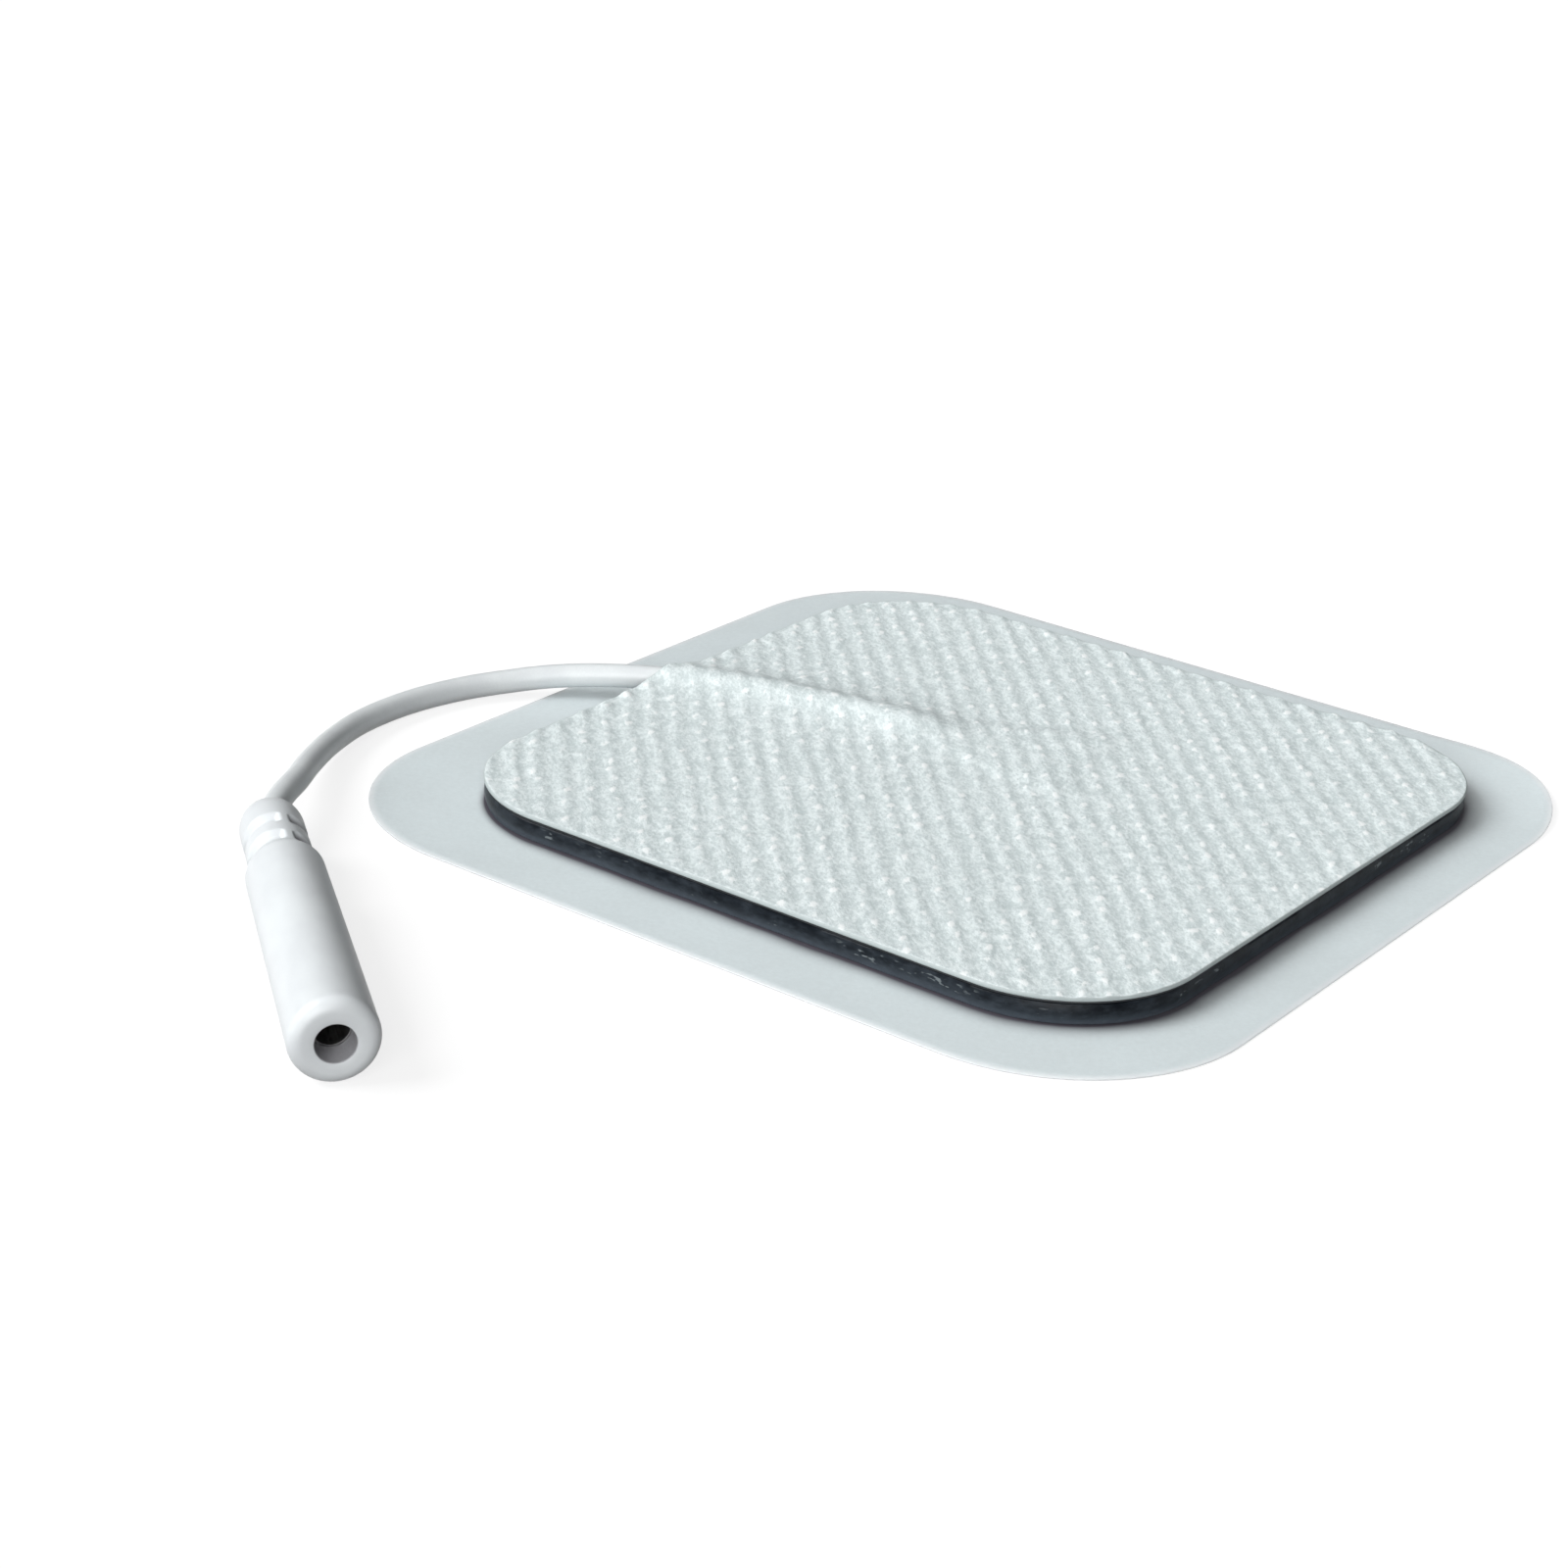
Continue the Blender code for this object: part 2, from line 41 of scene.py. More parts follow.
# Camera, fitted to the photo's outline of the pad
camera = {
    "place": (0.10176, -0.16037, 0.08087),
    "yaw": 35.9965,
    "pitch": 23.0778,
    "roll": 3.029,
    "lens": 73.977,
    "sensor": 36.0,
}


def addCamera():
    yaw, pitch, roll = (math.radians(camera[key]) for key in ("yaw", "pitch", "roll"))
    back = Vector((math.sin(yaw) * math.cos(pitch), -math.cos(yaw) * math.cos(pitch), math.sin(pitch)))
    level = Vector((math.cos(yaw), math.sin(yaw), 0))
    plumb = back.cross(level)
    right = level * math.cos(roll) + plumb * math.sin(roll)
    up = plumb * math.cos(roll) - level * math.sin(roll)
    view = bpy.data.objects.new("camera", bpy.data.cameras.new("camera"))
    bpy.context.scene.collection.objects.link(view)
    view.data.sensor_width = camera["sensor"]
    view.data.lens = camera["lens"]
    view.data.clip_start = 0.01
    place = Matrix((right, up, back)).transposed().to_4x4()
    place.translation = Vector(camera["place"])
    view.matrix_world = place
    bpy.context.scene.camera = view


addCamera()
print("camera is in place")


class Wire:  # a socket in a node tree, with arithmetic that adds the nodes it needs
    def __init__(self, tree, socket=None):
        self.tree = tree
        self.socket = socket

    def node(self, kind, settings=None, sockets=None, output=0):
        made = self.tree.nodes.new(kind)
        for name, value in (settings or {}).items():
            setattr(made, name, value)
        for name, value in (sockets or {}).items():
            if isinstance(value, Wire):
                self.tree.links.new(value.socket, made.inputs[name])
            else:
                made.inputs[name].default_value = value
        return Wire(self.tree, made.outputs[output]) if len(made.outputs) else made

    def maths(self, operation, *values):
        return self.node("ShaderNodeMath", {"operation": operation}, dict(enumerate(values)))

    def __add__(self, other):
        return self.maths("ADD", self, other)

    def __radd__(self, other):
        return self.maths("ADD", other, self)

    def __sub__(self, other):
        return self.maths("SUBTRACT", self, other)

    def __rsub__(self, other):
        return self.maths("SUBTRACT", other, self)

    def __mul__(self, other):
        return self.maths("MULTIPLY", self, other)

    def __rmul__(self, other):
        return self.maths("MULTIPLY", other, self)

    def __truediv__(self, other):
        return self.maths("DIVIDE", self, other)

    def __rtruediv__(self, other):
        return self.maths("DIVIDE", other, self)

    def __pow__(self, other):
        return self.maths("POWER", self, other)

    def wave(self):
        return self.maths("COSINE", self * (2 * math.pi))

    def least(self, other):
        return self.maths("MINIMUM", self, other)

    def most(self, other):
        return self.maths("MAXIMUM", self, other)

    def size(self):
        return self.maths("ABSOLUTE", self)

    def whole(self):
        return self.maths("ROUND", self)

    def ramp(self, low, high, first=0.0, last=1.0):
        values = {"Value": self, "From Min": low, "From Max": high, "To Min": first, "To Max": last}
        return self.node("ShaderNodeMapRange", {"interpolation_type": "SMOOTHSTEP"}, values)

    def blend(self, first, last):
        return self.node("ShaderNodeMix", {"data_type": "RGBA"}, {0: self, 6: first, 7: last}, output=2)

    def split(self):
        return [self.node("ShaderNodeSeparateXYZ", sockets={0: self}, output=axis) for axis in range(3)]

    def place(self):  # object coordinates in millimetres
        spot = self.node("ShaderNodeTexCoord", output="Object")
        scaled = {0: spot, 1: (1000.0, 1000.0, 1000.0)}
        return self.node("ShaderNodeVectorMath", {"operation": "MULTIPLY"}, scaled)

    def noise(self, scale, detail=2.0, rough=0.5, stretch=(1.0, 1.0, 1.0), turn=0.0):
        sizes = tuple(1 / part for part in stretch)
        sockets = {"Vector": self, "Scale": sizes, "Rotation": (0.0, 0.0, turn)}
        placed = self.node("ShaderNodeMapping", {"vector_type": "TEXTURE"}, sockets)
        values = {"Vector": placed, "Scale": scale, "Detail": detail, "Roughness": rough}
        return self.node("ShaderNodeTexNoise", sockets=values)

    def bump(self, height, distance, strength=1.0):
        values = {"Height": height, "Distance": distance, "Strength": strength}
        return self.node("ShaderNodeBump", sockets=values)


def grey(colour, level=1.0):
    return (*(part * level for part in colour), 1.0)


def newMaterial(name):
    material = bpy.data.materials.new(name)
    material.use_nodes = True
    material.node_tree.nodes.clear()
    return material, Wire(material.node_tree)


def finishMaterial(tree, surface):
    tree.node("ShaderNodeOutputMaterial", sockets={"Surface": surface})


def principled(tree, sockets):
    return tree.node("ShaderNodeBsdfPrincipled", sockets=sockets)


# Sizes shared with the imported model, in metres
laminate = {
    "side": 50.0 * mm,
    "corner": 9.0 * mm,
    "shift": 0.8 * mm,
    "linerMargin": 5.5 * mm,
    "linerCorner": 12.0 * mm,
    "linerTop": 0.12 * mm,
    "gelBottom": 0.14 * mm,
    "gelTop": 1.44 * mm,
    "filmBottom": 1.46 * mm,
    "filmTop": 1.61 * mm,
    "clothBottom": 1.63 * mm,
    "clothTop": 1.9 * mm,
}
padEdge = laminate["shift"] - laminate["side"] / 2

lead = {
    "radius": 0.8 * mm,
    "bore": 0.45 * mm,
    "inPad": 1.66 * mm,
    "onTable": 0.82 * mm,
    "atSocket": 2.52 * mm,
    "bareCore": 1.2 * mm,
    "fanLength": 11.0 * mm,
    "fanSpread": math.tan(math.radians(18)),
    "endInSocket": 18.0 * mm,
    "spacing": 0.35 * mm,
    "endInsets": (0.08 * mm, 0.02 * mm),
    "endLip": 0.03 * mm,
    "sides": 48,
    "boreSides": 24,
}

socket = {
    "back": Vector((padEdge - 1.02 * mm, -37.23 * mm, lead["atSocket"])),
    "turn": math.radians(-37.7),
    "bodyLength": 20.8 * mm,
    "radius": 2.5 * mm,
    "draft": 0.18 * mm,
    "shoulderLength": 1.0 * mm,
    "shoulderStep": 0.4 * mm,
    "reliefLength": 6.9 * mm,
    "endWall": 0.35 * mm,
    "endRound": 1.7 * mm,
    "mouthRound": 0.8 * mm,
    "mouthBore": 1.1 * mm,
    "mouthDepth": 1.8 * mm,
    "boreEdge": 0.08 * mm,
    "sleeve": 1.375 * mm,
    "sleeveEnd": 14.3 * mm,
    "barrel": 0.75 * mm,
    "barrelEnd": 17.8 * mm,
    "leadBore": 0.9 * mm,
    "slotCentres": (22.55 * mm, 24.95 * mm),
    "slotWidth": 1.0 * mm,
    "slotRadius": 1.58 * mm,
    "ribWidth": 0.65 * mm,
    "ribTurn": math.radians(14),
    "edge": 0.13 * mm,
    "faceLand": 0.3 * mm,
    "bodyLand": 0.25 * mm,
    "blend": 0.1 * mm,
    "arcSteps": 12,
    "bodySteps": 29,
    "reliefSteps": 90,
    "sides": 160,
}
socketAxis = Vector((math.cos(socket["turn"]), math.sin(socket["turn"]), 0))
socketLength = socket["bodyLength"] + socket["shoulderLength"] + socket["reliefLength"]
socketMouth = socket["back"] + socketAxis * socketLength


def between(low, high, share):
    return low + (high - low) * share


def leadRoute():
    inPad, onTable, atSocket = lead["inPad"], lead["onTable"], lead["atSocket"]
    outside = [
        (16.2, 3.1, inPad),
        (11.2, 2.2, inPad),
        (5.6, 0.9, inPad),
        (0, -1.1, inPad),
        (-3.4, -3.2, between(inPad, onTable, 0.08)),
        (-6.2, -5.35, between(inPad, onTable, 0.35)),
        (-8.4, -7.75, between(inPad, onTable, 0.72)),
        (-10.1, -10.8, between(inPad, onTable, 0.95)),
        (-10.95, -14.8, onTable),
        (-10.7, -19.3, between(onTable, atSocket, 0.05)),
        (-9.2, -23.7, between(onTable, atSocket, 0.22)),
        (-7.0, -27.8, between(onTable, atSocket, 0.5)),
        (-4.9, -31.1, between(onTable, atSocket, 0.76)),
        (-3.2, -34.1, between(onTable, atSocket, 0.93)),
    ]
    route = [Vector((padEdge + x * mm, y * mm, z)) for x, y, z in outside]
    inSocket = socketLength - lead["endInSocket"]
    for share in (0, 0.25, 0.5, 0.75, 1):
        route.append(socket["back"] + socketAxis * inSocket * share)
    return route


def smoothPoints(route, spacing):  # evenly spaced, on a smooth curve through the route
    knots = [2 * route[0] - route[1], *route, 2 * route[-1] - route[-2]]
    dense = []
    for before, start, end, after in zip(knots, knots[1:], knots[2:], knots[3:]):
        for step in range(24):
            t = step / 24
            first = (end - before) * (0.5 * t)
            second = (before * 2 - start * 5 + end * 4 - after) * (0.5 * t**2)
            third = (start * 3 - before - end * 3 + after) * (0.5 * t**3)
            dense.append(start + first + second + third)
    dense.append(knots[-2])
    dense = np.array(dense)
    run = np.concatenate([[0], np.cumsum(np.linalg.norm(np.diff(dense, axis=0), axis=1))])
    wanted = np.linspace(0, run[-1], math.ceil(run[-1] / spacing) + 1)
    return np.stack([np.interp(wanted, run, dense[:, axis]) for axis in range(3)], axis=1)


leadLine = smoothPoints(leadRoute(), lead["spacing"])
exitNumber = int(np.argmax(leadLine[:, 0] < padEdge))  # the first point outside the pad


def smoothStep(low, high, value):
    t = np.clip((value - low) / (high - low), 0, 1)
    return t * t * (3 - 2 * t)


fanStart = leadLine[0]
fanDirection = leadLine[0] - leadLine[1]
fanDirection = fanDirection / np.linalg.norm(fanDirection)
fanAcross = np.array([-fanDirection[1], fanDirection[0], 0])


def leadDistance(x, y):  # from the lead's line, run on inwards, and past its stripped end
    ahead = [fanStart + fanDirection * step * 0.5 * mm for step in range(30, 0, -1)]
    line = np.concatenate([np.array(ahead), leadLine[: exitNumber + 12]])[:, :2]
    nearest = np.full(x.shape, 1.0)
    for first, second in zip(line, line[1:]):
        along = second - first
        t = ((x - first[0]) * along[0] + (y - first[1]) * along[1]) / (along @ along)
        t = np.clip(t, 0, 1)
        gap = np.hypot(x - first[0] - t * along[0], y - first[1] - t * along[1])
        nearest = np.minimum(nearest, gap)
    past = (x - fanStart[0]) * fanDirection[0] + (y - fanStart[1]) * fanDirection[1]
    return nearest, past


def fanCover(x, y, edge):
    along = (x - fanStart[0]) * fanDirection[0] + (y - fanStart[1]) * fanDirection[1] - lead["bareCore"]
    aside = np.abs((x - fanStart[0]) * fanAcross[0] + (y - fanStart[1]) * fanAcross[1])
    beyond = aside - ridge["fanRoot"] - np.maximum(along, 0) * lead["fanSpread"]
    sideways = 1 - smoothStep(0.1 * mm, edge, beyond)
    past = along - lead["fanLength"]
    return sideways * smoothStep(*ridge["fanRise"], along) * (1 - smoothStep(*ridge["fanFall"], past))


ridge = {
    "halfWidth": 1.85 * mm,
    "power": 2.2,
    "underLift": 0.87 * mm,
    "overLift": 0.84 * mm,
    "fade": (0.0 * mm, 6.4 * mm),
    "fanUnder": 0.235 * mm,
    "fanOver": 0.15 * mm,
    "fanEdge": 1.2 * mm,
    "fanSoftEdge": 2.2 * mm,
    "fanRoot": 0.5 * mm,
    "fanRise": (-2.5 * mm, -0.5 * mm),
    "fanFall": (0.4 * mm, 2.2 * mm),
    "sag": 0.80 * mm,
    "sagHalfWidth": 1.05 * mm,
    "sagPower": 6.0,
    "sagFade": (0.1 * mm, 4.6 * mm),
}


def ridgeShape(x, y):
    gap, past = leadDistance(x, y)
    return (1 - smoothStep(*ridge["fade"], past)) / (1 + (gap / ridge["halfWidth"]) ** ridge["power"])


def ridgeHeight(x, y, lift, fanLift, fanEdge):
    shape = ridgeShape(x, y)
    return lift * shape + fanLift * fanCover(x, y, fanEdge) * (1 - shape)


def sagDepth(x, y):
    gap, past = leadDistance(x, y)
    shape = 1 / (1 + (gap / ridge["sagHalfWidth"]) ** ridge["sagPower"])
    return ridge["sag"] * shape * (1 - smoothStep(*ridge["sagFade"], past))


def planPoints(a, b, side, corner, shift):  # a unit square's points, on one with round corners
    half = side / 2
    level = np.maximum(np.maximum(np.abs(a), np.abs(b)), 1e-9)
    edgeX, edgeY = np.abs(a) / level * half, np.abs(b) / level * half
    middle = half - corner
    dot = (edgeX + edgeY) * middle
    size = edgeX**2 + edgeY**2
    inside = np.maximum(dot**2 - size * (2 * middle**2 - corner**2), 0)
    cornered = (edgeX > middle) & (edgeY > middle)
    shrink = np.where(cornered, (dot + np.sqrt(inside)) / size, 1.0)
    scale = half * (1 - level**4 * (1 - shrink))
    return a * scale + shift, b * scale


def ringNumbers(count):  # round the outside of a square grid, anticlockwise from above
    row = count + 1
    ring = [column for column in range(count)]
    ring += [line * row + count for line in range(count)]
    ring += [count * row + column for column in range(count, 0, -1)]
    ring += [line * row for line in range(count, 0, -1)]
    return ring


def gridFaces(count, start, flip):
    row = count + 1
    corner = (np.arange(count)[:, None] * row + np.arange(count)[None, :]).ravel() + start
    quads = np.stack([corner, corner + 1, corner + row + 1, corner + row], axis=1)
    return (quads[:, ::-1] if flip else quads).tolist()


def makeSlab(name, plan, topHeight, bottomHeight, rim, fine, ratio):  # rim: inset, share of the way down
    side, corner, shift = plan
    coarse = fine // ratio
    steps = np.linspace(-1, 1, fine + 1)
    a, b = (grid.ravel() for grid in np.meshgrid(steps, steps))
    topInset, bottomInset = rim[0][0], rim[-1][0]
    x, y = planPoints(a, b, side - 2 * topInset, corner - topInset, shift)
    top = np.stack([x, y, topHeight(x, y)], axis=1)
    verts, faces = [top], gridFaces(fine, 0, False)
    ring = np.array(ringNumbers(fine))
    ringA, ringB = a[ring], b[ring]
    last, total = ring, len(top)
    for inset, share in rim[1:-1]:
        if callable(inset):
            inset = inset(np.arctan2(ringB, ringA))
        x, y = planPoints(ringA, ringB, side, corner, shift)
        outX, outY = planPoints(ringA, ringB, side - 2 * mm, corner - 1 * mm, shift)
        x, y = x + (outX - x) * inset / mm, y + (outY - y) * inset / mm
        upper, lower = topHeight(x, y), bottomHeight(x, y)
        verts.append(np.stack([x, y, upper + (lower - upper) * share], axis=1))
        this = np.arange(len(ring)) + total
        nextLast, nextThis = np.roll(last, -1), np.roll(this, -1)
        faces += np.stack([this, nextThis, nextLast, last], axis=1).tolist()
        last, total = this, total + len(ring)
    steps = np.linspace(-1, 1, coarse + 1)
    a, b = (grid.ravel() for grid in np.meshgrid(steps, steps))
    x, y = planPoints(a, b, side - 2 * bottomInset, corner - bottomInset, shift)
    verts.append(np.stack([x, y, bottomHeight(x, y)], axis=1))
    faces += gridFaces(coarse, total, True)
    lowRing = np.array(ringNumbers(coarse)) + total
    count = len(lowRing)
    for number in range(count):
        upper = [int(last[(number * ratio + step) % len(last)]) for step in range(ratio, -1, -1)]
        faces.append([int(lowRing[number]), int(lowRing[(number + 1) % count]), *upper])
    mesh = bpy.data.meshes.new(name)
    mesh.from_pydata(np.concatenate(verts).tolist(), [], faces)
    return mesh


def meshVolume(mesh):
    mesh.calc_loop_triangles()
    count = len(mesh.loop_triangles)
    corners = np.empty(count * 3, dtype=np.int32)
    mesh.loop_triangles.foreach_get("vertices", corners)
    places = np.empty(len(mesh.vertices) * 3)
    mesh.vertices.foreach_get("co", places)
    a, b, c = places.reshape(-1, 3)[corners.reshape(-1, 3)].transpose(1, 0, 2)
    return float(np.einsum("ij,ij->i", a, np.cross(b, c)).sum() / 6)


def addPiece(name, mesh, material, node, sharpAngle=50):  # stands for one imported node
    if meshVolume(mesh) < 0:
        mesh.flip_normals()
    piece = bpy.data.objects.new(name, mesh)
    bpy.context.scene.collection.objects.link(piece)
    mesh.materials.clear()
    mesh.materials.append(material)
    mesh.shade_smooth()
    mesh.set_sharp_from_angle(angle=math.radians(sharpAngle))
    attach(piece, "root")
    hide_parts(node)
    print(name, len(mesh.polygons), "faces,", round(meshVolume(mesh) * 1e9, 1), "mm3")
    return piece


# Lead insulation, first of all as the cord is measured
leadLook = {
    "colour": (0.76, 0.795, 0.80),
    "deep": (0.66, 0.69, 0.705),
    "roughness": 0.38,
    "grain": 0.012 * mm,
}


def insulationMaterial():
    material, tree = newMaterial("leadInsulation")
    place = tree.place()
    cloud = place.noise(0.35, 3, 0.55)
    grain = place.noise(9.0, 3, 0.6)
    mark = place.noise(2.2, 2, 0.5, (0.3, 1.0, 1.0))
    tint = (cloud * 0.7 + grain * 0.3).ramp(0.3, 0.75)
    shader = principled(
        tree,
        {
            "Base Color": tint.blend(grey(leadLook["deep"]), grey(leadLook["colour"])),
            "Roughness": leadLook["roughness"] + 0.14 * (mark - 0.5) + 0.1 * (grain - 0.5),
            "Normal": tree.bump(grain * 0.6 + mark * 0.4, leadLook["grain"]),
        },
    )
    finishMaterial(tree, shader)
    return material


def sweepTube(name, line, outer, inner, sides, innerSides):  # with a bore and rounded end edges
    tangents = np.gradient(line, axis=0)
    tangents /= np.linalg.norm(tangents, axis=1)[:, None]
    across = np.array([-tangents[0][1], tangents[0][0], 0])
    frames = []
    for tangent in tangents:
        across = across - tangent * (across @ tangent)
        across /= np.linalg.norm(across)
        frames.append((across.copy(), np.cross(tangent, across)))
    final = len(line) - 1
    wide, slight = lead["endInsets"]
    lip = lead["endLip"]
    rows = [(0, outer - wide, 0.0), (0, outer - slight, lip)]
    rows += [(number, outer, 0.0) for number in range(1, final)]
    rows += [(final, outer - slight, -lip), (final, outer - wide, 0.0)]
    verts, faces = [], []
    for number, radius, push in rows:
        first, second = frames[number]
        for side in range(sides):
            angle = side / sides * 2 * math.pi
            spoke = first * math.cos(angle) + second * math.sin(angle)
            verts.append(line[number] + tangents[number] * push + spoke * radius)
    inStart = len(verts)
    for number in range(len(line)):
        first, second = frames[number]
        for side in range(innerSides):
            angle = side / innerSides * 2 * math.pi
            verts.append(line[number] + (first * math.cos(angle) + second * math.sin(angle)) * inner)
    for row in range(len(rows) - 1):
        for side in range(sides):
            a, b = row * sides + side, row * sides + (side + 1) % sides
            faces.append([a, b, b + sides, a + sides])
    for row in range(final):
        start = inStart + row * innerSides
        for side in range(innerSides):
            a, b = start + side, start + (side + 1) % innerSides
            faces.append([a, a + innerSides, b + innerSides, b])
    ratio = sides // innerSides
    ends = ((0, inStart, False), ((len(rows) - 1) * sides, len(verts) - innerSides, True))
    for outStart, inRow, flip in ends:
        for side in range(innerSides):
            outerPart = [outStart + (side * ratio + step) % sides for step in range(ratio + 1)]
            face = [inRow + side, inRow + (side + 1) % innerSides, *outerPart[::-1]]
            faces.append(face[::-1] if flip else face)
    mesh = bpy.data.meshes.new(name)
    mesh.from_pydata([list(vert) for vert in verts], [], faces)
    return mesh


insulationMesh = sweepTube(
    "leadJacket", leadLine, lead["radius"], lead["bore"], lead["sides"], lead["boreSides"]
)
insulation = addPiece(
    "leadJacket", insulationMesh, insulationMaterial(), "lead_insulation", 60
)


# Socket moulding
socketLook = {
    "colour": (0.765, 0.80, 0.815),
    "deep": (0.705, 0.735, 0.755),
    # painted shade: the colour that the slots on their unlit side and the mouth's bore are darkened towards
    "paintedShade": (0.26, 0.25, 0.27),
    "boreShade": 0.78,
    "roughness": 0.36,
    "grain": 0.01 * mm,
}


def socketMaterial():
    material, tree = newMaterial("socketMoulding")
    place = tree.place()
    cloud = place.noise(0.22, 3, 0.5)
    grain = place.noise(7.0, 4, 0.6)
    flow = place.noise(0.9, 2, 0.5, (0.35, 1.0, 1.0), socket["turn"])
    tint = (cloud * 0.6 + flow * 0.4).ramp(0.3, 0.7)
    # painted shade mask: darkens the slots on their unlit side and the bore
    paintedShade = tree.node("ShaderNodeAttribute", {"attribute_name": "paintedShade"}, output="Fac")
    base = tint.blend(grey(socketLook["deep"]), grey(socketLook["colour"]))
    shader = principled(
        tree,
        {
            "Base Color": (paintedShade * (0.8 + 0.4 * grain)).least(1.0).blend(base, grey(socketLook["paintedShade"])),
            "Roughness": socketLook["roughness"] + 0.16 * (flow - 0.5) + 0.08 * (grain - 0.5),
            "Normal": tree.bump(grain * 0.7 + flow * 0.3, socketLook["grain"]),
        },
    )
    finishMaterial(tree, shader)
    return material


def socketProfile():  # (place along, radius), back along the outside, then forward along the bore
    radius, bend, edge = socket["radius"], socket["mouthRound"], socket["boreEdge"]
    arcSteps, bodySteps, blendReach = socket["arcSteps"], socket["bodySteps"], socket["blend"]
    faceRadius = (socket["mouthBore"] + radius) / 2 - socket["faceLand"]
    outside = [(0.0, socket["mouthBore"] + edge), (0.0, faceRadius)]
    for step in range(arcSteps + 1):
        angle = step / arcSteps * math.pi / 2
        outside.append((bend * (1 - math.cos(angle)), radius - bend * (1 - math.sin(angle))))
    bodyEnd, reliefStart = socket["bodyLength"], socket["bodyLength"] + socket["shoulderLength"]
    backRadius = radius - socket["draft"]
    for step in range(1, bodySteps + 1):
        along = bend + (bodyEnd - socket["bodyLand"] - bend) * step / bodySteps
        outside.append((along, radius - socket["draft"] * along / bodyEnd))
    reliefRadius = backRadius - socket["shoulderStep"]
    for step in range(arcSteps + 1):
        t = step / arcSteps
        along = bodyEnd - blendReach + (reliefStart + blendReach - bodyEnd) * t
        blend = t * t * (3 - 2 * t)
        outside.append((along, between(backRadius, reliefRadius, 0.55 * t + 0.45 * blend)))
    domeStart = socketLength - socket["endRound"]
    for step in range(1, socket["reliefSteps"] + 1):
        along = between(reliefStart + blendReach, domeStart, step / socket["reliefSteps"])
        outside.append((along, reliefRadius))
    endRadius = socket["leadBore"] + socket["endWall"]
    for step in range(1, arcSteps + 1):
        angle = step / arcSteps * math.pi / 2
        dome = endRadius + (reliefRadius - endRadius) * math.cos(angle)
        outside.append((domeStart + socket["endRound"] * math.sin(angle), dome))
    inside = [
        (socketLength, socket["leadBore"] + 0.05 * mm),
        (socketLength - 0.05 * mm, socket["leadBore"]),
        (socket["barrelEnd"], socket["leadBore"]),
        (socket["barrelEnd"], socket["barrel"]),
        (socket["sleeveEnd"], socket["barrel"]),
        (socket["sleeveEnd"], socket["sleeve"]),
        (socket["mouthDepth"], socket["sleeve"]),
        (socket["mouthDepth"], socket["mouthBore"]),
        (edge, socket["mouthBore"]),
        (edge * 0.3, socket["mouthBore"] + edge * 0.3),
    ]
    return np.array(outside), np.array(inside)


def socketMesh():
    outside, inside = socketProfile()
    sides = socket["sides"]
    angles = np.arange(sides) / sides * 2 * math.pi
    along = outside[:, 0][:, None] * np.ones(sides)
    radii = outside[:, 1][:, None] * np.ones(sides)
    edge = socket["edge"]
    apart = np.abs(radii * np.sin(angles - socket["ribTurn"])[None, :]) - socket["ribWidth"] / 2
    sideways = smoothStep(-edge, edge * 1.5, apart)
    paintedShade = np.zeros(radii.shape)
    for centre in socket["slotCentres"]:
        off = np.abs(along - centre) - socket["slotWidth"] / 2
        cut = (1 - smoothStep(-edge * 1.6, edge * 1.4, off)) * sideways
        radii = radii - np.maximum(radii - socket["slotRadius"], 0) * cut
        # painted shade in the slots, only on the side turned away from the key light
        paintedShade = np.maximum(paintedShade, cut**2 * smoothStep(0.0, 0.5, np.sin(angles))[None, :])
    along = np.concatenate([along, inside[:, 0][:, None] * np.ones(sides)])
    radii = np.concatenate([radii, inside[:, 1][:, None] * np.ones(sides)])
    axis = np.array(socketAxis)
    aside = np.array([-axis[1], axis[0], 0])
    spokes = np.cos(angles)[:, None] * np.array([0, 0, 1]) + np.sin(angles)[:, None] * aside
    mouth = np.array(socketMouth)
    verts = mouth - along[:, :, None] * axis + radii[:, :, None] * spokes[None, :, :]
    rows = len(verts)
    faces = []
    for row in range(rows):
        nextRow = (row + 1) % rows
        for side in range(sides):
            other = (side + 1) % sides
            faces.append(
                [row * sides + side, row * sides + other, nextRow * sides + other, nextRow * sides + side]
            )
    mesh = bpy.data.meshes.new("socketBody")
    mesh.from_pydata(verts.reshape(-1, 3).tolist(), [], faces)
    shade = mesh.attributes.new("paintedShade", "FLOAT", "POINT")
    # painted shade: the bore's rows get boreShade, and the outside rows take the slot shade
    shadeAmounts = np.full(rows * sides, socketLook["boreShade"], dtype=np.float32)
    shadeAmounts[: paintedShade.size] = paintedShade.ravel()
    shade.data.foreach_set("value", shadeAmounts)
    return mesh


socketPiece = addPiece(
    "socketBody", socketMesh(), socketMaterial(), "socket_body", 55
)
print("lead and socket are made")


# Metals
metalLook = {
    "nickel": (0.62, 0.62, 0.61),
    "nickelDeep": (0.46, 0.46, 0.46),
    "tin": (0.66, 0.63, 0.59),
    "tinDeep": (0.45, 0.40, 0.36),
}


def metalMaterial(name, bright, deep, turn, roughness):
    material, tree = newMaterial(name)
    place = tree.place()
    drawn = place.noise(1.2, 3, 0.6, (0.12, 6.0, 6.0), turn)
    cloud = place.noise(0.8, 3, 0.6)
    tint = (drawn * 0.5 + cloud * 0.5).ramp(0.3, 0.7)
    shader = principled(
        tree,
        {
            "Base Color": tint.blend(grey(deep), grey(bright)),
            "Metallic": 1.0,
            "Roughness": roughness + 0.25 * (drawn - 0.5) + 0.12 * (cloud - 0.5),
            "Normal": tree.bump(drawn, 0.004 * mm),
        },
    )
    finishMaterial(tree, shader)
    return material


def paintNode(name, material):
    mesh = nodes[name].data
    for number in range(len(mesh.materials)):
        mesh.materials[number] = material


